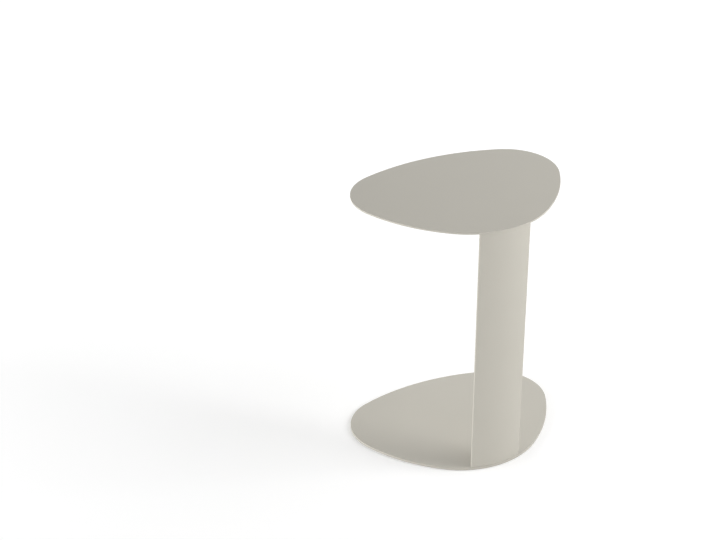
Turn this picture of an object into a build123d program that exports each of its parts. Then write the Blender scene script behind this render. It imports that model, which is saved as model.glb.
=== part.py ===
"""Side table of plain sheet steel. A rounded-triangle top and a base of the same outline stand one above
the other, joined at their nose by one upright sheet rolled to the nose's curve. The back and both sides
are open, so that the table slides over a seat or a bed.

The column has a flange welded inside its head and another inside its foot. The top hangs on weld studs
with nuts, and the base is held by countersunk screws from below. Five thin glides carry the base.

Millimetres, +Z up. The origin is on the floor, under the middle of the plan. X = 0 is the plane of
symmetry, and the column stands at the -Y end.
"""

import os
from math import asin, cos, degrees, pi, radians, sin, tan

from build123d import *

os.makedirs("parts", exist_ok=True)

# Heights and thicknesses
height = 600.0
top_thickness = 4.0
base_thickness = 6.0
sheet_thickness = 6.0
pad_thickness = 1.0
adhesive_thickness = 0.25

# Plan outline of the top and the base: tangent arcs from the nose round one side, mirrored.
# Each turn is in degrees, and the nose and the back are counted from the plane of symmetry.
nose_radius = 192.0
nose_turn = 37.0
flank_radius = 368.0
flank_turn = 29.5
corner_radius = 112.0
corner_turn = 94.5
back_turn = 180.0 - nose_turn - flank_turn - corner_turn
rim_rounding = 0.8

# Column
column_width = 121.5
column_inset = 0.8
column_edge_rounding = 2.6
column_end_rounding = 0.4

# Flanges inside the column's head and foot
head_flange_thickness = 6.0
foot_flange_thickness = 8.0
flange_depth = 50.0
flange_half_angle = 14.0
flange_inner_width = 68.0
flange_corner_rounding = 9.0
flange_edge_chamfer = 0.6
weld_leg = 4.0
weld_bulge = 0.5
weld_end_angle = 1.0

# Fasteners: the same four places in the top and in the base
outer_row_spacing = 60.0
inner_row_spacing = 40.0
outer_row_from_nose = 24.0
inner_row_from_nose = 44.0
thread_radius = 3.0
thread_clearance = 0.05
stud_length = 15.5
stud_collar_radius = 3.75
stud_collar_height = 0.8
stud_hole_radius = 4.0
stud_tip_chamfer = 0.7
washer_radius = 6.0
washer_hole_radius = 3.2
washer_thickness = 1.6
washer_edge_chamfer = 0.2
nut_across_flats = 10.0
nut_height = 5.0
nut_chamfer_angle = 30.0
screw_length = 12.0
screw_head_radius = 6.0
screw_recess = 0.15
screw_tip_chamfer = 0.8
socket_across_flats = 4.0
socket_depth = 2.2
screw_hole_radius = 3.3

# Glides
glide_radius = 12.5
glide_rounding = 0.3
glide_inset = 25.0
side_glide_angle = 0.0
back_glide_angle = 100.0

# Levels
base_bottom = pad_thickness + adhesive_thickness
base_top = base_bottom + base_thickness
top_bottom = height - top_thickness
column_length = top_bottom - base_top
head_flange_bottom = top_bottom - head_flange_thickness
foot_flange_top = base_top + foot_flange_thickness


def heading_after(arcs):
    """Heading in degrees at the end of a chain of (radius, turn) arcs that starts along +X."""
    return sum(turn for _, turn in arcs)


def reach_after(arcs):
    """Travel across (X) and along (Y) at the end of a chain of (radius, turn) arcs that starts along +X."""
    across, along, heading = 0.0, 0.0, 0.0
    for radius, turn in arcs:
        start = radians(heading)
        heading += turn
        end = radians(heading)
        across += radius * (sin(end) - sin(start))
        along += radius * (cos(start) - cos(end))
    return across, along


# The back arc closes the outline square to the plane of symmetry, which settles its radius.
nose_to_flank = [(nose_radius, nose_turn), (flank_radius, flank_turn)]
nose_to_corner = [*nose_to_flank, (corner_radius, corner_turn)]
back_radius = reach_after(nose_to_corner)[0] / sin(radians(back_turn))
depth = reach_after([*nose_to_corner, (back_radius, back_turn)])[1]
nose_y = -depth / 2
nose_centre_y = nose_y + nose_radius
corner_start_x, corner_start_travel = reach_after(nose_to_flank)
corner_heading = radians(heading_after(nose_to_flank))
corner_centre_x = corner_start_x - corner_radius * sin(corner_heading)
corner_centre_y = nose_y + corner_start_travel + corner_radius * cos(corner_heading)
width = 2 * (corner_centre_x + corner_radius)

column_outer_radius = nose_radius - column_inset
column_inner_radius = column_outer_radius - sheet_thickness
column_half_angle = degrees(asin(column_width / 2 / column_outer_radius))
flange_inner_y = nose_centre_y - column_inner_radius + flange_depth

fastener_points = [
    (side * spacing / 2, nose_y + from_nose)
    for spacing, from_nose in (
        (outer_row_spacing, outer_row_from_nose),
        (inner_row_spacing, inner_row_from_nose),
    )
    for side in (-1, 1)
]


def corner_point(side, angle):
    """A glide's centre, set in from the rim of the left (-1) or right (1) corner, at an angle about it."""
    reach = corner_radius - glide_inset
    x = corner_centre_x + reach * cos(radians(angle))
    y = corner_centre_y + reach * sin(radians(angle))
    return side * x, y


glide_points = [
    (0.0, nose_y + glide_inset),
    corner_point(1, side_glide_angle),
    corner_point(1, back_glide_angle),
    corner_point(-1, back_glide_angle),
    corner_point(-1, side_glide_angle),
]

print("plan", round(width, 1), "x", round(depth, 1), "back radius", round(back_radius, 1))


def save(piece, name):
    """Labels a finished piece and writes it under its node's name."""
    piece.part.label = name
    export_step(piece.part, f"parts/{name}.step")


# Outlines drawn once and used by more than one piece
with BuildSketch() as plan_outline:
    with BuildLine():
        nose = JernArc((0, nose_y), (1, 0), nose_radius, nose_turn)
        flank = JernArc(nose @ 1, nose % 1, flank_radius, flank_turn)
        corner = JernArc(flank @ 1, flank % 1, corner_radius, corner_turn)
        back = JernArc(corner @ 1, corner % 1, back_radius, back_turn)
        mirror(about=Plane.YZ)
    make_face()

with BuildSketch() as flange_outline:
    with BuildLine():
        seat = CenterArc(
            (0, nose_centre_y), column_inner_radius, -90 - flange_half_angle, 2 * flange_half_angle
        )
        Polyline(
            seat @ 1,
            (flange_inner_width / 2, flange_inner_y),
            (-flange_inner_width / 2, flange_inner_y),
            seat @ 0,
        )
    make_face()
    fillet(flange_outline.vertices().group_by(Axis.Y)[-1], flange_corner_rounding)


# Top plate
with BuildPart() as top_plate:
    with BuildSketch(Plane.XY.offset(top_bottom)):
        add(plan_outline.sketch)
    extrude(amount=top_thickness)
    fillet(top_plate.edges().filter_by(Plane.XY), rim_rounding)
save(top_plate, "top_plate")


# Base plate, countersunk from below
with BuildPart() as base_plate:
    with BuildSketch(Plane.XY.offset(base_bottom)):
        add(plan_outline.sketch)
    extrude(amount=base_thickness)
    fillet(base_plate.edges().filter_by(Plane.XY), rim_rounding)
    with Locations(*[Plane((x, y, base_bottom), z_dir=(0, 0, -1)) for x, y in fastener_points]):
        CounterSinkHole(
            screw_hole_radius,
            screw_head_radius + screw_recess + thread_clearance,
            counter_sink_angle=90,
        )
save(base_plate, "base_plate")


# Column: a sector of a ring, concentric with the nose, with rounded upright edges
with BuildPart() as column_sheet:
    with BuildSketch(Plane.XY.offset(base_top)) as column_section:
        with BuildLine():
            outer_face = CenterArc(
                (0, nose_centre_y), column_outer_radius, -90 - column_half_angle, 2 * column_half_angle
            )
            inner_face = CenterArc(
                (0, nose_centre_y), column_inner_radius, -90 - column_half_angle, 2 * column_half_angle
            )
            Line(outer_face @ 0, inner_face @ 0)
            Line(outer_face @ 1, inner_face @ 1)
        make_face()
        fillet(column_section.vertices(), column_edge_rounding)
    extrude(amount=column_length)
    fillet(column_sheet.edges().filter_by(Plane.XY), column_end_rounding)
save(column_sheet, "column_sheet")


# Head flange, with clear holes for the studs and their collars
with BuildPart() as head_flange:
    with BuildSketch(Plane.XY.offset(head_flange_bottom)):
        add(flange_outline.sketch)
    extrude(amount=head_flange_thickness)
    chamfer(head_flange.faces().sort_by(Axis.Z)[0].edges().filter_by(GeomType.LINE), flange_edge_chamfer)
    with Locations(*[(x, y, top_bottom) for x, y in fastener_points]):
        Hole(stud_hole_radius)
save(head_flange, "head_flange")


# Foot flange, tapped for the base screws
with BuildPart() as foot_flange:
    with BuildSketch(Plane.XY.offset(base_top)):
        add(flange_outline.sketch)
    extrude(amount=foot_flange_thickness)
    chamfer(foot_flange.faces().sort_by(Axis.Z)[-1].edges().filter_by(GeomType.LINE), flange_edge_chamfer)
    with Locations(*[(x, y, foot_flange_top) for x, y in fastener_points]):
        Hole(thread_radius)
save(foot_flange, "foot_flange")


def weld_bead(level, side):
    """A fillet weld along the column's inner face, on a flange's face that looks up (1) or down (-1)."""
    half_angle = flange_half_angle - weld_end_angle
    start = radians(-90 - half_angle)
    middle = (weld_leg / 2 + weld_bulge) * side
    with BuildPart() as bead:
        section_plane = Plane(
            origin=(0, nose_centre_y, 0),
            x_dir=(cos(start), sin(start), 0),
            z_dir=(sin(start), -cos(start), 0),
        )
        with BuildSketch(section_plane):
            with BuildLine():
                root = (column_inner_radius, level)
                on_flange = (column_inner_radius - weld_leg, level)
                on_column = (column_inner_radius, level + weld_leg * side)
                crown = (column_inner_radius - abs(middle), level + middle)
                Line(root, on_flange)
                ThreePointArc(on_flange, crown, on_column)
                Line(on_column, root)
            make_face()
        revolve(axis=Axis((0, nose_centre_y, 0), (0, 0, 1)), revolution_arc=2 * half_angle)
    return bead


head_weld = weld_bead(head_flange_bottom, -1)
save(head_weld, "head_weld")

foot_weld = weld_bead(foot_flange_top, 1)
save(foot_weld, "foot_weld")


# Weld studs under the top
with BuildPart() as stud:
    with BuildSketch(Plane.XZ):
        with BuildLine():
            Polyline(
                (0, 0),
                (stud_collar_radius, 0),
                (stud_collar_radius, -stud_collar_height),
                (thread_radius, -stud_collar_height),
                (thread_radius, stud_tip_chamfer - stud_length),
                (thread_radius - stud_tip_chamfer, -stud_length),
                (0, -stud_length),
                close=True,
            )
        make_face()
    revolve(axis=Axis.Z)

with BuildPart() as top_studs:
    with Locations(*[(x, y, top_bottom) for x, y in fastener_points]):
        add(stud.part)
save(top_studs, "top_studs")


# Washers and nuts on the studs
with BuildPart() as washer:
    Cylinder(washer_radius, washer_thickness, align=(Align.CENTER, Align.CENTER, Align.MAX))
    Hole(washer_hole_radius)
    chamfer(washer.edges().sort_by(Axis.Z)[:1], washer_edge_chamfer)

with BuildPart() as stud_washers:
    with Locations(*[(x, y, head_flange_bottom) for x, y in fastener_points]):
        add(washer.part)
save(stud_washers, "stud_washers")

nut_corner_radius = nut_across_flats / 2 / cos(pi / 6)
nut_chamfer_height = (nut_corner_radius - nut_across_flats / 2) * tan(radians(nut_chamfer_angle))

with BuildPart() as nut:
    with BuildSketch():
        RegularPolygon(nut_across_flats / 2, 6, major_radius=False)
        Circle(thread_radius + thread_clearance, mode=Mode.SUBTRACT)
    extrude(amount=-nut_height)
    with BuildSketch(Plane.XZ):
        with BuildLine():
            Polyline(
                (nut_across_flats / 2, -nut_height),
                (nut_corner_radius, -nut_height),
                (nut_corner_radius, nut_chamfer_height - nut_height),
                close=True,
            )
        make_face()
    revolve(axis=Axis.Z, mode=Mode.SUBTRACT)

with BuildPart() as stud_nuts:
    with Locations(*[(x, y, head_flange_bottom - washer_thickness) for x, y in fastener_points]):
        add(nut.part)
save(stud_nuts, "stud_nuts")


# Countersunk socket screws, up through the base into the foot flange
screw_shank_radius = thread_radius - thread_clearance
screw_head_height = screw_head_radius - screw_shank_radius

with BuildPart() as screw:
    with BuildSketch(Plane.XZ):
        with BuildLine():
            Polyline(
                (0, 0),
                (screw_head_radius, 0),
                (screw_shank_radius, screw_head_height),
                (screw_shank_radius, screw_length - screw_tip_chamfer),
                (screw_shank_radius - screw_tip_chamfer, screw_length),
                (0, screw_length),
                close=True,
            )
        make_face()
    revolve(axis=Axis.Z)
    with BuildSketch():
        RegularPolygon(socket_across_flats / 2, 6, major_radius=False)
    extrude(amount=socket_depth, mode=Mode.SUBTRACT)

with BuildPart() as base_screws:
    with Locations(*[(x, y, base_bottom + screw_recess) for x, y in fastener_points]):
        add(screw.part)
save(base_screws, "base_screws")


# Glides: a hard plastic disc on a layer of adhesive, one pair under each glide point
for number, (x, y) in enumerate(glide_points, start=1):
    with BuildPart() as glide_pad:
        with Locations((x, y, 0)):
            Cylinder(glide_radius, pad_thickness, align=(Align.CENTER, Align.CENTER, Align.MIN))
        fillet(glide_pad.edges().sort_by(Axis.Z)[0], glide_rounding)
    save(glide_pad, f"glide_pad_{number}")

    with BuildPart() as glide_adhesive:
        with Locations((x, y, pad_thickness)):
            Cylinder(glide_radius, adhesive_thickness, align=(Align.CENTER, Align.CENTER, Align.MIN))
    save(glide_adhesive, f"glide_adhesive_{number}")
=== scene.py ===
"""Finishes, fastenings and studio for a C-shaped side table of powder-coated sheet steel.

The plates, the column, its flanges and the adhesive come from the loaded frame and get their finish here.
The welds, studs, washers, nuts, screws and glides are rebuilt with the detail that the frame's plain
solids leave out. Lengths are in metres, +Z is up, and the origin is on the floor under the middle of the
plan. X = 0 is the plane of symmetry, and the column stands at the -Y end.
"""

from math import ceil, cos, pi, radians, sin, sqrt, tan
from typing import NamedTuple

import bmesh
import bpy
from bpy.props import FloatProperty, FloatVectorProperty, PointerProperty
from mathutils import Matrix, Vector


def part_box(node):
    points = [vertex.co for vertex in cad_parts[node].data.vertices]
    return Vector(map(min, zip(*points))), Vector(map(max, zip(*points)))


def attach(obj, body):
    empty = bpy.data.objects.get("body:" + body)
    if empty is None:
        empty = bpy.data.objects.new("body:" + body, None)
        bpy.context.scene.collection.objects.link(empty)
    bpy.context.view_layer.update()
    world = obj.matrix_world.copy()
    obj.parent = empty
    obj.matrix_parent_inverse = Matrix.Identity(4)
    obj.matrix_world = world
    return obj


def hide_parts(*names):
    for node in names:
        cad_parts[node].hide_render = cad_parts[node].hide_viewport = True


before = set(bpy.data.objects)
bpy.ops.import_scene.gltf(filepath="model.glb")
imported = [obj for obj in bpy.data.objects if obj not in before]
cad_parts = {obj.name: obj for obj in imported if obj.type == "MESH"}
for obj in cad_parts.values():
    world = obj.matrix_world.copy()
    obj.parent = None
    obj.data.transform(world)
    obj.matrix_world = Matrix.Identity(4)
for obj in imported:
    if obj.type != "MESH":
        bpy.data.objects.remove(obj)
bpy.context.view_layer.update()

bl_info = {
    "name": "Sheet Steel Side Table",
    "version": (1, 0, 0),
    "blender": (4, 5, 0),
    "location": "View3D > Sidebar > Side Table",
    "description": "Finishes, fastenings and studio for a C-shaped side table of sheet steel",
    "category": "Object",
}

# Sizes that the frame's boxes don't give, the same as in the table's drawing
MM = 0.001
NOSE_RADIUS = 192 * MM
COLUMN_INSET = 0.8 * MM
SHEET_THICKNESS = 6 * MM
WELD_HALF_ANGLE = radians(13)
STUD_COLLAR_RADIUS = 3.75 * MM
STUD_COLLAR_HEIGHT = 0.8 * MM
SCREW_HEAD_RADIUS = 6 * MM
SCREW_SHANK_RADIUS = 2.95 * MM
SOCKET_DEPTH = 2.2 * MM
INNER_ROW_SPACING = 40 * MM
WASHER_HOLE_RADIUS = 3.2 * MM

# A thread's form, in pitches: where its crest ends, where its root starts and ends, and its depths
THREAD_CREST_END = 0.125
THREAD_ROOT_START = 0.479
THREAD_ROOT_END = 0.646
THREAD_DEPTH = 0.613
THREAD_NECK_DEPTH = 0.62

# A weld bead's form, in legs, apart from the lengths along the bead
BEAD_HOLLOW = 0.116
BEAD_SETBACK = 0.03
BEAD_RIPPLE_DEPTH = 0.055
BEAD_SLOW_WANDER, BEAD_SLOW_WAVE = 0.02, 6.1 * MM
BEAD_QUICK_WANDER, BEAD_QUICK_WAVE = 0.015, 2.7 * MM
BEAD_END_FULLNESS = 0.35
BEAD_END_LENGTH = 2.5 * MM
BEAD_OVERLAP = 0.15 * MM
BEAD_CRESCENT = 0.45
RINGS_PER_RIPPLE = 7
BEAD_SECTION_STEPS = 10

# How uneven the welding leaves a stud's collar, as shares of its radius
COLLAR_SHRINK = 0.03
COLLAR_THREE_WAVES = 0.018
COLLAR_SEVEN_WAVES = 0.012
COLLAR_ROUNDING = 0.45 * MM

# Other small details of the fastenings and the glides
NUT_BORE_CLEARANCE = 0.05 * MM
NUT_LEAD_IN = 0.45 * MM
NUT_FACE_SHARE = 0.955
NUT_CORNER_CUT = 0.07 * MM
NUT_CHAMFER_ANGLE = radians(30)
SCREW_NECK_LENGTH = 0.6 * MM
SCREW_TIP_CHAMFER = 0.8 * MM
SCREW_RIM = 0.15 * MM
SOCKET_EDGE = 0.2 * MM
SOCKET_POINT = 0.5 * MM
DIMPLE_RADIUS = 1.1 * MM
DIMPLE_SLOPE = 0.25 * MM
DIMPLE_DEPTH = 0.18 * MM
DIMPLE_ROUNDING = 0.1 * MM
GLIDE_TOP_ROUNDING = 0.12 * MM

# Facets round each turned piece
STUD_FACETS = 36
SCREW_FACETS = 48
WASHER_FACETS = 72
NUT_FACETS = 72
GLIDE_FACETS = 96

# Where the softboxes hang and what they point at
LIGHT_DISTANCE = 3.6
LIGHT_TARGET_HEIGHT = 0.3

COATED_NODES = ("top_plate", "base_plate", "column_sheet", "head_flange", "foot_flange")
GLIDE_NUMBERS = range(1, 6)
SMOOTH_ANGLE = radians(32)


# --- Shader graphs ----------------------------------------------------------------------------------


class Wire:
    """A shader socket that can be used in Python arithmetic. Each operator adds one Math node."""

    def __init__(self, graph, socket):
        self.graph = graph
        self.socket = socket

    def math(self, operation, first, second):
        return self.graph.node("Math", {"operation": operation}, {0: first, 1: second})

    def __add__(self, other):
        return self.math("ADD", self, other)

    def __radd__(self, other):
        return self.math("ADD", other, self)

    def __sub__(self, other):
        return self.math("SUBTRACT", self, other)

    def __rsub__(self, other):
        return self.math("SUBTRACT", other, self)

    def __mul__(self, other):
        return self.math("MULTIPLY", self, other)

    def __rmul__(self, other):
        return self.math("MULTIPLY", other, self)


class Graph:
    """The node tree of one material or world, emptied and ready to be filled."""

    def __init__(self, owner):
        owner.use_nodes = True
        self.tree = owner.node_tree
        self.tree.nodes.clear()

    def node(self, kind, settings=None, inputs=None, output=0):
        """Adds a node, sets its settings, then its sockets' values or links. Returns one output."""
        made = self.tree.nodes.new("ShaderNode" + kind)
        for name, value in (settings or {}).items():
            if name == "stops":
                self.set_stops(made.color_ramp, value)
            else:
                setattr(made, name, value)
        for key, value in (inputs or {}).items():
            socket = self.find(made.inputs, key)
            if isinstance(value, Wire):
                self.tree.links.new(value.socket, socket)
            else:
                socket.default_value = value
        if not made.outputs:
            return None
        return Wire(self, self.find(made.outputs, output))

    @staticmethod
    def find(sockets, key):
        """A socket by its number, its identifier or its name."""
        if isinstance(key, int):
            return sockets[key]
        for socket in sockets:
            if socket.identifier == key:
                return socket
        return sockets[key]

    @staticmethod
    def set_stops(ramp, stops):
        """Gives a colour ramp its stops, as (position, grey value) pairs."""
        while len(ramp.elements) < len(stops):
            ramp.elements.new(0.5)
        for element, (position, value) in zip(ramp.elements, stops):
            element.position = position
            element.color = (value, value, value, 1)

    def place(self):
        """Where a point of the object is, in the object's own metres."""
        return self.node("TexCoord", output="Object")

    def noise(self, place, spacing, detail=2.0):
        """Smooth noise whose lumps are about one spacing apart."""
        sizes = {"Vector": place, "Scale": 1 / spacing, "Detail": detail, "Roughness": 0.5}
        return self.node("TexNoise", {"noise_dimensions": "3D"}, sizes, "Fac")

    def blend(self, factor, first, second):
        """A colour between two colours."""
        ends = {"Factor_Float": factor, "A_Color": first, "B_Color": second}
        return self.node("Mix", {"data_type": "RGBA"}, ends, "Result_Color")

    def ramp(self, factor, stops):
        """A value that follows the given stops as the factor goes from 0 to 1."""
        return self.node("ValToRGB", {"stops": stops}, {"Fac": factor}, "Color")

    def bump(self, height, depth, below=None):
        """A normal for a relief whose height runs from 0 to 1 over the given depth."""
        sizes = {"Height": height, "Distance": depth, "Strength": 1.0}
        if below is not None:
            sizes["Normal"] = below
        return self.node("Bump", {}, sizes, "Normal")

    def surface(self, **sockets):
        """Ends a material in one Principled surface. Socket names have _ for their spaces."""
        named = {name.replace("_", " "): value for name, value in sockets.items()}
        shader = self.node("BsdfPrincipled", {}, named, "BSDF")
        self.node("OutputMaterial", {}, {"Surface": shader})


def new_graph(name):
    """A new material and its empty graph."""
    material = bpy.data.materials.new(name)
    return material, Graph(material)


def shifted(colour, factor):
    """A colour made lighter or darker, with full alpha."""
    return (*(min(1.0, part * factor) for part in colour), 1.0)


def powder_coat(finish):
    """Matt textured powder coat on steel: a fine grain over a soft orange peel, nearly even in colour."""
    material, graph = new_graph("table_powder_coat")
    place = graph.place()
    drift = graph.noise(place, 110 * MM, detail=1.0)
    peel = graph.noise(place, finish.peel_spacing, detail=1.0)
    grain = graph.noise(place, finish.grain_spacing, detail=3.0)
    tone = drift * 0.5 + grain * 0.5
    relief = graph.bump(peel, finish.peel_depth)
    darker, lighter = shifted(finish.coat_colour, 0.965), shifted(finish.coat_colour, 1.035)
    graph.surface(
        Base_Color=graph.blend(tone, darker, lighter),
        Roughness=finish.coat_roughness - 0.05 + peel * 0.06 + grain * 0.04,
        Specular_IOR_Level=0.38,
        Normal=graph.bump(grain, finish.grain_depth, relief),
    )
    return material


def zinc_plate(finish):
    """Bright zinc plate with faint passivation tints and fine tumbling marks."""
    material, graph = new_graph("table_zinc_plate")
    place = graph.place()
    tint = graph.noise(place, 4.5 * MM, detail=2.0)
    marks = graph.noise(place, 0.35 * MM, detail=4.0)
    patches = graph.ramp(tint, [(0.42, 0.0), (0.68, 1.0)])
    cool, warm = (*finish.zinc_colour, 1), (0.66, 0.62, 0.50, 1)
    graph.surface(
        Base_Color=graph.blend(patches, cool, warm),
        Metallic=1.0,
        Roughness=0.24 + marks * 0.22,
        Normal=graph.bump(marks, 0.012 * MM),
    )
    return material


def copper_flash(finish):
    """Thin copper flash on weld studs, dulled and browned where it has been handled."""
    material, graph = new_graph("table_copper_flash")
    place = graph.place()
    tarnish = graph.noise(place, 2.2 * MM, detail=3.0)
    marks = graph.noise(place, 0.25 * MM, detail=3.0)
    clean, brown = (*finish.copper_colour, 1), (0.30, 0.15, 0.08, 1)
    graph.surface(
        Base_Color=graph.blend(tarnish, clean, brown),
        Metallic=1.0,
        Roughness=0.28 + tarnish * 0.25,
        Normal=graph.bump(marks, 0.008 * MM),
    )
    return material


def glide_plastic(finish):
    """Black moulded polyethylene with a fine eroded mould texture."""
    material, graph = new_graph("table_glide_plastic")
    place = graph.place()
    texture = graph.noise(place, 0.4 * MM, detail=3.0)
    cloud = graph.noise(place, 6 * MM, detail=1.0)
    darker, lighter = shifted(finish.glide_colour, 0.85), shifted(finish.glide_colour, 1.2)
    graph.surface(
        Base_Color=graph.blend(cloud, darker, lighter),
        Roughness=0.46 + texture * 0.16,
        Normal=graph.bump(texture, 0.02 * MM),
    )
    return material


def adhesive_film(finish):
    """Milky acrylic adhesive, slightly uneven."""
    material, graph = new_graph("table_glide_adhesive")
    cloud = graph.noise(graph.place(), 1.5 * MM, detail=2.0)
    darker, lighter = shifted(finish.adhesive_colour, 0.9), shifted(finish.adhesive_colour, 1.1)
    graph.surface(
        Base_Color=graph.blend(cloud, darker, lighter),
        Roughness=0.42 + cloud * 0.2,
        Normal=graph.bump(cloud, 0.01 * MM),
    )
    return material


def shared(maker, name):
    """A finish that several pieces use, made the first time that it is asked for."""
    found = bpy.data.materials.get(name)
    return found if found else maker(bpy.context.scene.side_table_finish)


# --- Meshes built from rings of points --------------------------------------------------------------


def rounded(corners, steps=4):
    """A profile of (across, up) points from (across, up, rounding) corners, with soft turns."""
    points = []
    for number, (across, up, rounding) in enumerate(corners):
        if rounding == 0 or number in (0, len(corners) - 1):
            points.append((across, up))
            continue
        here = Vector((across, up))
        before = Vector(corners[number - 1][:2]) - here
        after = Vector(corners[number + 1][:2]) - here
        start = here + before.normalized() * rounding
        end = here + after.normalized() * rounding
        for step in range(steps + 1):
            t = step / steps
            point = start * (1 - t) ** 2 + here * 2 * t * (1 - t) + end * t**2
            points.append((point.x, point.y))
    return points


def turned(profile, centre, count):
    """Rings that turn a profile of (radius, level) points about the upright through centre."""
    rings = []
    for radius, level in profile:
        if radius == 0:
            rings.append([Vector((centre.x, centre.y, level))])
            continue
        rings.append(
            [
                Vector(
                    (
                        centre.x + radius * cos(2 * pi * step / count),
                        centre.y + radius * sin(2 * pi * step / count),
                        level,
                    )
                )
                for step in range(count)
            ]
        )
    return rings


def add_skin(mesh, rings, ends="capped"):
    """Joins each ring of points to the next with faces. A ring of one point closes the skin in a fan.

    End rings of many points are "capped" with one face each, "joined" to each other, or left "open" to be
    met by another skin.
    """
    made = [[mesh.verts.new(point) for point in ring] for ring in rings]
    pairs = list(zip(made, made[1:]))
    if ends == "joined":
        pairs.append((made[-1], made[0]))
    for first, second in pairs:
        count = max(len(first), len(second))
        for step in range(count):
            turn = (step + 1) % count
            if len(first) == 1:
                mesh.faces.new((first[0], second[step], second[turn]))
            elif len(second) == 1:
                mesh.faces.new((first[step], second[0], first[turn]))
            else:
                mesh.faces.new((first[step], second[step], second[turn], first[turn]))
    if ends == "capped":
        for end in (made[0], made[-1]):
            if len(end) > 2:
                mesh.faces.new(end)


def add_piece(name, mesh, material, replaced):
    """Turns a finished mesh into a piece that rides on the table and stands for the named nodes."""
    bmesh.ops.remove_doubles(mesh, verts=mesh.verts, dist=1e-7)
    bmesh.ops.dissolve_degenerate(mesh, dist=1e-8, edges=mesh.edges)
    bmesh.ops.recalc_face_normals(mesh, faces=mesh.faces)
    data = bpy.data.meshes.new(name)
    mesh.to_mesh(data)
    mesh.free()
    data.materials.append(material)
    data.shade_smooth()
    data.set_sharp_from_angle(angle=SMOOTH_ANGLE)
    piece = bpy.data.objects.new(name, data)
    bpy.context.scene.collection.objects.link(piece)
    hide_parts(*replaced)
    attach(piece, "root")
    return piece


def give_finish(node, material):
    """Gives a node of the frame its finish."""
    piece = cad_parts[node]
    piece.data.materials.clear()
    piece.data.materials.append(material)


def hexagon_reach(angle, across_flats):
    """How far a hexagon with corners on the X axis reaches at an angle."""
    return across_flats / 2 / cos((angle % (pi / 3)) - pi / 6)


def fastener_centres(node, edge_radius):
    """The four fastening points, from the box of a node whose solids have the given radius."""
    low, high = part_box(node)
    outer_x = (high.x - low.x) / 2 - edge_radius
    centres = []
    for across, y in ((outer_x, low.y + edge_radius), (INNER_ROW_SPACING / 2, high.y - edge_radius)):
        for side in (-1, 1):
            centres.append(Vector((side * across, y, 0)))
    return centres


class Thread(NamedTuple):
    """A helical thread, whose tip may be above or below its root. It runs out in a cone at both ends."""

    radius: float
    pitch: float
    root_level: float
    tip_level: float
    neck_radius: float
    tip_radius: float


def add_thread(mesh, thread, centre, count):
    """A thread about the upright through centre, closed at its tip and open at its root."""
    radius, pitch, root_level, tip_level, neck_radius, tip_radius = thread
    core_radius = radius - THREAD_DEPTH * pitch
    form = (
        (0.0, radius),
        (THREAD_CREST_END, radius),
        (THREAD_ROOT_START, core_radius),
        (THREAD_ROOT_END, core_radius),
    )
    low, low_radius, high, high_radius = root_level, neck_radius, tip_level, tip_radius
    if low > high:
        low, low_radius, high, high_radius = high, high_radius, low, low_radius
    turns = ceil((high - low) / pitch) + 2
    rows = []
    for step in range(-count, turns * count):
        angle = 2 * pi * step / count
        row = []
        for rise, reach in form:
            level = low + pitch * (step / count + rise)
            if level <= low:
                level, reach = low, low_radius
            elif level >= high:
                level, reach = high, high_radius
            else:
                reach = min(reach, low_radius + level - low, high_radius + high - level)
            row.append(mesh.verts.new((centre.x + reach * cos(angle), centre.y + reach * sin(angle), level)))
        rows.append(row)
    for step in range(len(rows) - count - 1):
        here = [*rows[step], rows[step + count][0]]
        ahead = [*rows[step + 1], rows[step + count + 1][0]]
        for edge in range(len(form)):
            mesh.faces.new((here[edge], ahead[edge], ahead[edge + 1], here[edge + 1]))
    add_skin(mesh, turned([(tip_radius, tip_level), (0, tip_level)], centre, count), "open")


# --- Settings ---------------------------------------------------------------------------------------


class SideTableFinish(bpy.types.PropertyGroup):
    """Colours and textures of the table's finishes."""

    coat_colour: FloatVectorProperty(
        name="Coat Colour",
        description="Colour of the powder coat",
        subtype="COLOR",
        size=3,
        min=0,
        max=1,
        default=(0.462, 0.442, 0.39),
    )
    coat_roughness: FloatProperty(
        name="Coat Roughness", description="Roughness of the powder coat", min=0, max=1, default=0.6
    )
    grain_spacing: FloatProperty(
        name="Grain Spacing",
        description="Distance between the grains of the powder coat",
        unit="LENGTH",
        default=0.6 * MM,
    )
    grain_depth: FloatProperty(
        name="Grain Depth",
        description="Height of the grain of the powder coat",
        unit="LENGTH",
        precision=6,
        default=0.014 * MM,
    )
    peel_spacing: FloatProperty(
        name="Peel Spacing",
        description="Distance between the waves of the orange peel",
        unit="LENGTH",
        default=4 * MM,
    )
    peel_depth: FloatProperty(
        name="Peel Depth",
        description="Height of the orange peel",
        unit="LENGTH",
        precision=6,
        default=0.02 * MM,
    )
    zinc_colour: FloatVectorProperty(
        name="Zinc Colour",
        description="Colour of the plated washers, nuts and screws",
        subtype="COLOR",
        size=3,
        min=0,
        max=1,
        default=(0.60, 0.62, 0.64),
    )
    copper_colour: FloatVectorProperty(
        name="Copper Colour",
        description="Colour of the weld studs",
        subtype="COLOR",
        size=3,
        min=0,
        max=1,
        default=(0.72, 0.36, 0.20),
    )
    glide_colour: FloatVectorProperty(
        name="Glide Colour",
        description="Colour of the glides",
        subtype="COLOR",
        size=3,
        min=0,
        max=1,
        default=(0.022, 0.022, 0.024),
    )
    adhesive_colour: FloatVectorProperty(
        name="Adhesive Colour",
        description="Colour of the glides' adhesive",
        subtype="COLOR",
        size=3,
        min=0,
        max=1,
        default=(0.62, 0.60, 0.55),
    )


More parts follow.
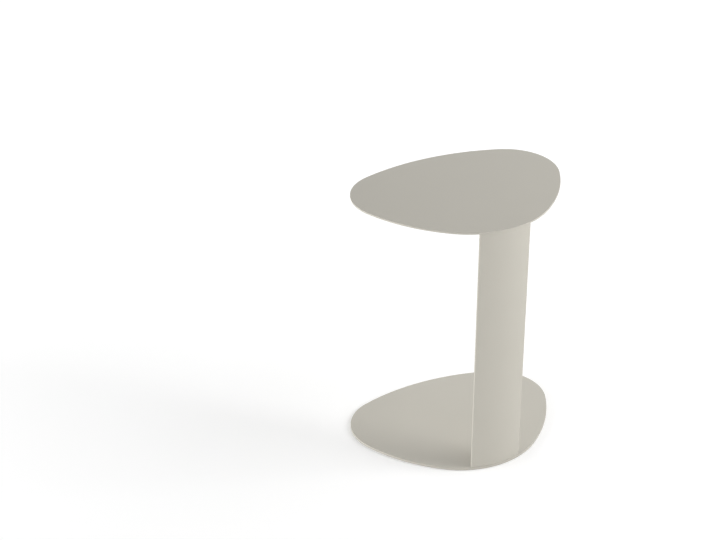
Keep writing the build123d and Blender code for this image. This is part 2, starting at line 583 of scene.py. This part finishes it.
class SideTableFastenings(bpy.types.PropertyGroup):
    """Sizes of the welds, studs, nuts, screws and glides."""

    thread_radius: FloatProperty(
        name="Thread Radius",
        description="Outside radius of the studs' thread",
        unit="LENGTH",
        default=3 * MM,
    )
    thread_pitch: FloatProperty(
        name="Thread Pitch", description="Distance between two turns of thread", unit="LENGTH", default=1 * MM
    )
    stud_tip_chamfer: FloatProperty(
        name="Stud Tip Chamfer",
        description="Chamfer at the free end of a stud",
        unit="LENGTH",
        default=0.7 * MM,
    )
    nut_across_flats: FloatProperty(
        name="Nut Across Flats", description="Width of a nut over its flats", unit="LENGTH", default=10 * MM
    )
    washer_rounding: FloatProperty(
        name="Washer Rounding",
        description="Rounding of a washer's punched edges",
        unit="LENGTH",
        default=0.25 * MM,
    )
    socket_across_flats: FloatProperty(
        name="Socket Across Flats",
        description="Width of the screws' hexagon socket",
        unit="LENGTH",
        default=4 * MM,
    )
    weld_leg: FloatProperty(
        name="Weld Leg", description="Size of a weld along each plate", unit="LENGTH", default=4 * MM
    )
    weld_ripple: FloatProperty(
        name="Weld Ripple",
        description="Distance between the ripples of a weld",
        unit="LENGTH",
        default=1.7 * MM,
    )
    glide_rounding: FloatProperty(
        name="Glide Rounding",
        description="Rounding of a glide's lower edge",
        unit="LENGTH",
        default=0.3 * MM,
    )


class SideTableStudio(bpy.types.PropertyGroup):
    """The camera, the lights and the floor."""

    camera_place: FloatVectorProperty(
        name="Camera Place",
        description="Where the camera stands",
        subtype="TRANSLATION",
        size=3,
        default=(-1.6497, -2.9833, 2.3636),
    )
    camera_heading: FloatProperty(
        name="Camera Heading",
        description="Direction that the camera looks in, from +Y towards +X",
        subtype="ANGLE",
        default=radians(25.112),
    )
    camera_tilt: FloatProperty(
        name="Camera Tilt",
        description="How far the camera looks below the horizon",
        subtype="ANGLE",
        default=radians(29.896),
    )
    camera_lens: FloatProperty(
        name="Camera Lens",
        description="Focal length of the camera",
        unit="CAMERA",
        default=89.56,
    )
    floor_colour: FloatVectorProperty(
        name="Floor Colour",
        description="Colour of the studio floor",
        subtype="COLOR",
        size=3,
        min=0,
        max=1,
        default=(0.9, 0.9, 0.9),
    )
    floor_radius: FloatProperty(
        name="Floor Radius", description="Radius of the studio floor", unit="LENGTH", default=4.5
    )
    floor_glow: FloatProperty(
        name="Floor Glow", description="Light that the floor itself gives off", min=0, default=0.165
    )
    key_power: FloatProperty(
        name="Key Power", description="Power of the softbox on the right", unit="POWER", default=45
    )
    high_power: FloatProperty(
        name="High Power", description="Power of the high softbox on the right", unit="POWER", default=33
    )
    left_power: FloatProperty(
        name="Left Power", description="Power of the softbox on the left", unit="POWER", default=84
    )
    back_power: FloatProperty(
        name="Back Power", description="Power of the softbox at the back", unit="POWER", default=55
    )
    wall_light: FloatProperty(
        name="Wall Light", description="Brightness of the white surroundings", min=0, default=1.0
    )


# --- Operators --------------------------------------------------------------------------------------


class SIDETABLE_OT_sheets(bpy.types.Operator):
    """Give the plates, the column and the flanges their powder coat"""

    bl_idname = "side_table.sheets"
    bl_label = "Coat the Sheets"

    def execute(self, context):
        coat = shared(powder_coat, "table_powder_coat")
        for node in COATED_NODES:
            give_finish(node, coat)
        return {"FINISHED"}


class SIDETABLE_OT_welds(bpy.types.Operator):
    """Lay the rippled fillet welds that hold the flanges in the column"""

    bl_idname = "side_table.welds"
    bl_label = "Lay the Welds"

    def execute(self, context):
        low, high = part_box("foot_weld")
        self.lay("foot_weld", low.z, 1)
        low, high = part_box("head_weld")
        self.lay("head_weld", high.z, -1)
        return {"FINISHED"}

    def lay(self, node, level, side):
        """One bead along the column's inner face, above (1) or below (-1) a flange's face."""
        sizes = bpy.context.scene.side_table_fastenings
        axis_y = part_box("top_plate")[0].y + NOSE_RADIUS
        inner_radius = NOSE_RADIUS - COLUMN_INSET - SHEET_THICKNESS
        length = 2 * WELD_HALF_ANGLE * inner_radius
        ring_count = round(length / sizes.weld_ripple * RINGS_PER_RIPPLE)
        rings = []
        for number in range(ring_count + 1):
            travel = length * number / ring_count
            angle = -pi / 2 - WELD_HALF_ANGLE + travel / inner_radius
            leg = sizes.weld_leg * self.fullness(min(travel, length - travel))
            corner_radius, corner_level = inner_radius + BEAD_OVERLAP, level - BEAD_OVERLAP * side
            ring = [self.point(corner_radius, corner_level, angle, axis_y)]
            for step in range(BEAD_SECTION_STEPS + 1):
                lean = pi / 2 * step / BEAD_SECTION_STEPS
                reach = leg * self.relief(travel, lean, sizes.weld_ripple)
                radius = inner_radius - reach * cos(lean)
                ring.append(self.point(radius, level + side * reach * sin(lean), angle, axis_y))
            rings.append(ring)
        mesh = bmesh.new()
        add_skin(mesh, rings)
        add_piece(f"{node}_bead", mesh, shared(powder_coat, "table_powder_coat"), [node])

    @staticmethod
    def fullness(from_end):
        """How full a bead is at a distance from its end."""
        if from_end >= BEAD_END_LENGTH:
            return 1.0
        rise = sqrt(1 - (1 - from_end / BEAD_END_LENGTH) ** 2)
        return BEAD_END_FULLNESS + (1 - BEAD_END_FULLNESS) * rise

    @staticmethod
    def relief(travel, lean, ripple_spacing):
        """How far a bead stands out, in legs. The lean turns from the flange's face to the column's."""
        crescent = BEAD_CRESCENT * sin(2 * lean)
        ripple = abs(sin(pi * (travel / ripple_spacing + crescent)))
        wander = BEAD_SLOW_WANDER * sin(travel / BEAD_SLOW_WAVE + 2 * lean)
        wander += BEAD_QUICK_WANDER * sin(travel / BEAD_QUICK_WAVE)
        return 1 - BEAD_HOLLOW * sin(2 * lean) - BEAD_RIPPLE_DEPTH * (1 - ripple) + wander - BEAD_SETBACK

    @staticmethod
    def point(radius, level, angle, axis_y):
        """A point at a radius and an angle about the upright axis that the column is rolled round."""
        return Vector((radius * cos(angle), axis_y + radius * sin(angle), level))


class SIDETABLE_OT_studs(bpy.types.Operator):
    """Fit the threaded weld studs under the top"""

    bl_idname = "side_table.studs"
    bl_label = "Fit the Studs"

    def execute(self, context):
        sizes = context.scene.side_table_fastenings
        low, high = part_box("top_studs")
        collar_level = high.z - STUD_COLLAR_HEIGHT
        thread = Thread(
            radius=sizes.thread_radius,
            pitch=sizes.thread_pitch,
            root_level=collar_level,
            tip_level=low.z,
            neck_radius=sizes.thread_radius - THREAD_NECK_DEPTH * sizes.thread_pitch,
            tip_radius=sizes.thread_radius - sizes.stud_tip_chamfer,
        )
        collar = rounded(
            [
                (thread.neck_radius, collar_level, 0),
                (STUD_COLLAR_RADIUS, collar_level, COLLAR_ROUNDING),
                (STUD_COLLAR_RADIUS, high.z, 0),
                (0, high.z, 0),
            ]
        )
        mesh = bmesh.new()
        for number, centre in enumerate(fastener_centres("top_studs", STUD_COLLAR_RADIUS)):
            add_thread(mesh, thread, centre, STUD_FACETS)
            rings = turned(collar, centre, STUD_FACETS)
            for ring in rings[1:-1]:
                for step, point in enumerate(ring):
                    share = self.unevenness(2 * pi * step / STUD_FACETS + number)
                    point.x = centre.x + (point.x - centre.x) * share
                    point.y = centre.y + (point.y - centre.y) * share
            add_skin(mesh, rings, "open")
        add_piece(
            "studs_threaded",
            mesh,
            shared(copper_flash, "table_copper_flash"),
            ["top_studs"],
        )
        return {"FINISHED"}

    @staticmethod
    def unevenness(angle):
        """How far a collar reaches at an angle, as a share of its radius."""
        waves = COLLAR_THREE_WAVES * sin(3 * angle) + COLLAR_SEVEN_WAVES * sin(7 * angle + 1)
        return 1 + waves - COLLAR_SHRINK


class SIDETABLE_OT_nuts(bpy.types.Operator):
    """Fit the washers and the chamfered nuts on the studs"""

    bl_idname = "side_table.nuts"
    bl_label = "Fit the Washers and Nuts"

    def execute(self, context):
        self.fit_washers(context.scene.side_table_fastenings)
        self.fit_nuts(context.scene.side_table_fastenings)
        return {"FINISHED"}

    def fit_washers(self, sizes):
        low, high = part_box("stud_washers")
        centres = fastener_centres("top_studs", STUD_COLLAR_RADIUS)
        radius = (high.x - low.x) / 2 - centres[1].x
        middle = (low.z + high.z) / 2
        burr = sizes.washer_rounding
        section = rounded(
            [
                (WASHER_HOLE_RADIUS, middle, 0),
                (WASHER_HOLE_RADIUS, high.z, burr / 2),
                (radius, high.z, burr / 2),
                (radius, low.z, burr),
                (WASHER_HOLE_RADIUS, low.z, burr),
                (WASHER_HOLE_RADIUS, middle - burr / 10, 0),
            ]
        )
        mesh = bmesh.new()
        for centre in centres:
            add_skin(mesh, turned(section, centre, WASHER_FACETS), "joined")
        add_piece(
            "washers_punched", mesh, shared(zinc_plate, "table_zinc_plate"), ["stud_washers"]
        )

    def fit_nuts(self, sizes):
        low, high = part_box("stud_nuts")
        bore = sizes.thread_radius + NUT_BORE_CLEARANCE
        mouth = bore + NUT_LEAD_IN
        face_radius = sizes.nut_across_flats / 2 * NUT_FACE_SHARE
        corner_limit = sizes.nut_across_flats / 2 / cos(pi / 6) - NUT_CORNER_CUT
        slope = tan(NUT_CHAMFER_ANGLE)
        mesh = bmesh.new()
        for centre in fastener_centres("top_studs", STUD_COLLAR_RADIUS):
            upper, lower = [], []
            for step in range(NUT_FACETS):
                angle = 2 * pi * step / NUT_FACETS
                reach = min(hexagon_reach(angle, sizes.nut_across_flats), corner_limit)
                drop = (reach - face_radius) * slope
                x, y = centre.x + reach * cos(angle), centre.y + reach * sin(angle)
                upper.append(Vector((x, y, high.z - drop)))
                lower.append(Vector((x, y, low.z + drop)))
            top_face = [(bore, high.z - NUT_LEAD_IN), (mouth, high.z), (face_radius, high.z)]
            low_face = [(face_radius, low.z), (mouth, low.z), (bore, low.z + NUT_LEAD_IN)]
            top_rings = turned(top_face, centre, NUT_FACETS)
            low_rings = turned(low_face, centre, NUT_FACETS)
            add_skin(mesh, [*top_rings, upper, lower, *low_rings], "joined")
        add_piece(
            "nuts_hexagon", mesh, shared(zinc_plate, "table_zinc_plate"), ["stud_nuts"]
        )


class SIDETABLE_OT_screws(bpy.types.Operator):
    """Fit the countersunk socket screws under the base"""

    bl_idname = "side_table.screws"
    bl_label = "Fit the Base Screws"

    def execute(self, context):
        sizes = context.scene.side_table_fastenings
        low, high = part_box("base_screws")
        head_top = low.z + SCREW_HEAD_RADIUS - SCREW_SHANK_RADIUS
        thread = Thread(
            radius=SCREW_SHANK_RADIUS,
            pitch=sizes.thread_pitch,
            root_level=head_top + SCREW_NECK_LENGTH,
            tip_level=high.z,
            neck_radius=SCREW_SHANK_RADIUS - THREAD_NECK_DEPTH * sizes.thread_pitch,
            tip_radius=SCREW_SHANK_RADIUS - SCREW_TIP_CHAMFER,
        )
        outside = [
            (thread.neck_radius, thread.root_level),
            (SCREW_SHANK_RADIUS, head_top),
            (SCREW_HEAD_RADIUS, low.z + SCREW_RIM),
            (SCREW_HEAD_RADIUS - SCREW_RIM, low.z),
        ]
        socket = [(SOCKET_EDGE, low.z), (0, low.z + SOCKET_EDGE), (0, low.z + SOCKET_DEPTH)]
        mesh = bmesh.new()
        for centre in fastener_centres("base_screws", SCREW_HEAD_RADIUS):
            add_thread(mesh, thread, centre, SCREW_FACETS)
            head = turned(outside, centre, SCREW_FACETS)
            for growth, level in socket:
                ring = []
                for step in range(SCREW_FACETS):
                    angle = 2 * pi * step / SCREW_FACETS
                    reach = hexagon_reach(angle, sizes.socket_across_flats) + growth
                    x, y = centre.x + reach * cos(angle), centre.y + reach * sin(angle)
                    ring.append(Vector((x, y, level)))
                head.append(ring)
            head.append([Vector((centre.x, centre.y, low.z + SOCKET_DEPTH + SOCKET_POINT))])
            add_skin(mesh, head, "open")
        add_piece(
            "screws_countersunk", mesh, shared(zinc_plate, "table_zinc_plate"), ["base_screws"]
        )
        return {"FINISHED"}


class SIDETABLE_OT_glides(bpy.types.Operator):
    """Fit the moulded glides and finish their adhesive"""

    bl_idname = "side_table.glides"
    bl_label = "Fit the Glides"

    def execute(self, context):
        sizes = context.scene.side_table_fastenings
        for number in GLIDE_NUMBERS:
            node = f"glide_pad_{number}"
            low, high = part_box(node)
            centre = (low + high) / 2
            radius = (high.x - low.x) / 2
            section = rounded(
                [
                    (0, low.z + DIMPLE_DEPTH, 0),
                    (DIMPLE_RADIUS, low.z + DIMPLE_DEPTH, DIMPLE_ROUNDING),
                    (DIMPLE_RADIUS + DIMPLE_SLOPE, low.z, DIMPLE_ROUNDING),
                    (radius, low.z, sizes.glide_rounding),
                    (radius, high.z, GLIDE_TOP_ROUNDING),
                    (0, high.z, 0),
                ]
            )
            mesh = bmesh.new()
            add_skin(mesh, turned(section, centre, GLIDE_FACETS))
            add_piece(
                f"glide_moulded_{number}",
                mesh,
                shared(glide_plastic, "table_glide_plastic"),
                [node],
            )
            give_finish(f"glide_adhesive_{number}", shared(adhesive_film, "table_glide_adhesive"))
        return {"FINISHED"}


class SIDETABLE_OT_studio(bpy.types.Operator):
    """Set up the floor, the soft lights, the white surroundings and the camera"""

    bl_idname = "side_table.studio"
    bl_label = "Set Up the Studio"

    def execute(self, context):
        studio = context.scene.side_table_studio
        self.lay_floor(studio)
        self.hang_lights(studio)
        self.surround(studio)
        self.stand_camera(studio)
        context.scene.view_settings.view_transform = "Standard"
        return {"FINISHED"}

    def lay_floor(self, studio):
        material, graph = new_graph("studio_floor")
        colour = (*studio.floor_colour, 1)
        shader = graph.node("BsdfDiffuse", {}, {"Color": colour, "Roughness": 0.6}, "BSDF")
        distance = graph.node("VectorMath", {"operation": "LENGTH"}, {0: graph.place()}, "Value")
        reach = {"Value": distance, "From Min": studio.floor_radius * 0.5, "From Max": studio.floor_radius}
        fade = graph.node("MapRange", {"interpolation_type": "SMOOTHSTEP"}, reach, "Result")
        clear = graph.node("BsdfTransparent", {}, {}, "BSDF")
        glow = graph.node("Emission", {}, {"Strength": studio.floor_glow}, "Emission")
        lit = graph.node("AddShader", {}, {0: shader, 1: glow}, "Shader")
        mixed = graph.node("MixShader", {}, {0: fade, 1: lit, 2: clear}, "Shader")
        graph.node("OutputMaterial", {}, {"Surface": mixed})
        mesh = bmesh.new()
        bmesh.ops.create_circle(mesh, cap_ends=True, segments=96, radius=studio.floor_radius)
        data = bpy.data.meshes.new("studio_floor")
        mesh.to_mesh(data)
        mesh.free()
        data.materials.append(material)
        floor = bpy.data.objects.new("studio_floor", data)
        bpy.context.scene.collection.objects.link(floor)

    def hang_lights(self, studio):
        """Softboxes round the table. An azimuth of 0 is the camera's side and 90 is its right."""
        panels = (
            ("key_light", 80, 31, (1.5, 1.5), studio.key_power),
            ("high_light", 90, 50, (2.0, 2.0), studio.high_power),
            ("left_light", 280, 9, (2.3, 1.1), studio.left_power),
            ("back_light", 180, 10, (2.4, 1.2), studio.back_power),
        )
        target = Vector((0, 0, LIGHT_TARGET_HEIGHT))
        for name, azimuth, elevation, (width, height), power in panels:
            turn = radians(azimuth) - studio.camera_heading
            rise = radians(elevation)
            data = bpy.data.lights.new(name, "AREA")
            data.shape = "RECTANGLE"
            data.size = width
            data.size_y = height
            data.energy = power
            light = bpy.data.objects.new(name, data)
            heading = Vector((sin(turn) * cos(rise), -cos(turn) * cos(rise), sin(rise)))
            light.location = heading * LIGHT_DISTANCE
            light.rotation_euler = (target - light.location).to_track_quat("-Z", "Y").to_euler()
            light.visible_camera = False
            bpy.context.scene.collection.objects.link(light)

    def surround(self, studio):
        """White walls, with a dimmer ceiling above them."""
        world = bpy.data.worlds.new("studio_walls")
        bpy.context.scene.world = world
        graph = Graph(world)
        direction = graph.node("TexCoord", output="Generated")
        height = graph.node("SeparateXYZ", {}, {0: direction}, "Z")
        walls = graph.ramp(height, [(0.4, 1.0), (0.46, 0.44), (1.0, 0.42)])
        shader = graph.node("Background", {}, {"Color": walls, "Strength": studio.wall_light}, "Background")
        graph.node("OutputWorld", {}, {"Surface": shader})

    def stand_camera(self, studio):
        data = bpy.data.cameras.new("studio_camera")
        data.sensor_width = 36
        data.lens = studio.camera_lens
        data.clip_end = 50
        camera = bpy.data.objects.new("studio_camera", data)
        camera.location = studio.camera_place
        camera.rotation_euler = (pi / 2 - studio.camera_tilt, 0, -studio.camera_heading)
        bpy.context.scene.collection.objects.link(camera)
        bpy.context.scene.camera = camera


# --- Panel and registration -------------------------------------------------------------------------


class SIDETABLE_PT_sidebar(bpy.types.Panel):
    """Settings and steps of the side table"""

    bl_idname = "SIDETABLE_PT_sidebar"
    bl_label = "Side Table"
    bl_space_type = "VIEW_3D"
    bl_region_type = "UI"
    bl_category = "Side Table"

    def draw(self, context):
        scene = context.scene
        groups = (
            ("Finishes", scene.side_table_finish),
            ("Fastenings", scene.side_table_fastenings),
            ("Studio", scene.side_table_studio),
        )
        for title, settings in groups:
            box = self.layout.box()
            box.label(text=title)
            for name in settings.__annotations__:
                box.prop(settings, name)
        for step in STEPS:
            self.layout.operator(step.bl_idname)


STEPS = (
    SIDETABLE_OT_sheets,
    SIDETABLE_OT_welds,
    SIDETABLE_OT_studs,
    SIDETABLE_OT_nuts,
    SIDETABLE_OT_screws,
    SIDETABLE_OT_glides,
    SIDETABLE_OT_studio,
)
CLASSES = (SideTableFinish, SideTableFastenings, SideTableStudio, *STEPS, SIDETABLE_PT_sidebar)


def register():
    for each in CLASSES:
        bpy.utils.register_class(each)
    bpy.types.Scene.side_table_finish = PointerProperty(type=SideTableFinish)
    bpy.types.Scene.side_table_fastenings = PointerProperty(type=SideTableFastenings)
    bpy.types.Scene.side_table_studio = PointerProperty(type=SideTableStudio)


def unregister():
    del bpy.types.Scene.side_table_finish
    del bpy.types.Scene.side_table_fastenings
    del bpy.types.Scene.side_table_studio
    for each in reversed(CLASSES):
        bpy.utils.unregister_class(each)


def main():
    register()
    bpy.ops.side_table.sheets()
    bpy.ops.side_table.welds()
    bpy.ops.side_table.studs()
    bpy.ops.side_table.nuts()
    bpy.ops.side_table.screws()
    bpy.ops.side_table.glides()
    bpy.ops.side_table.studio()


if __name__ == "__main__":
    main()
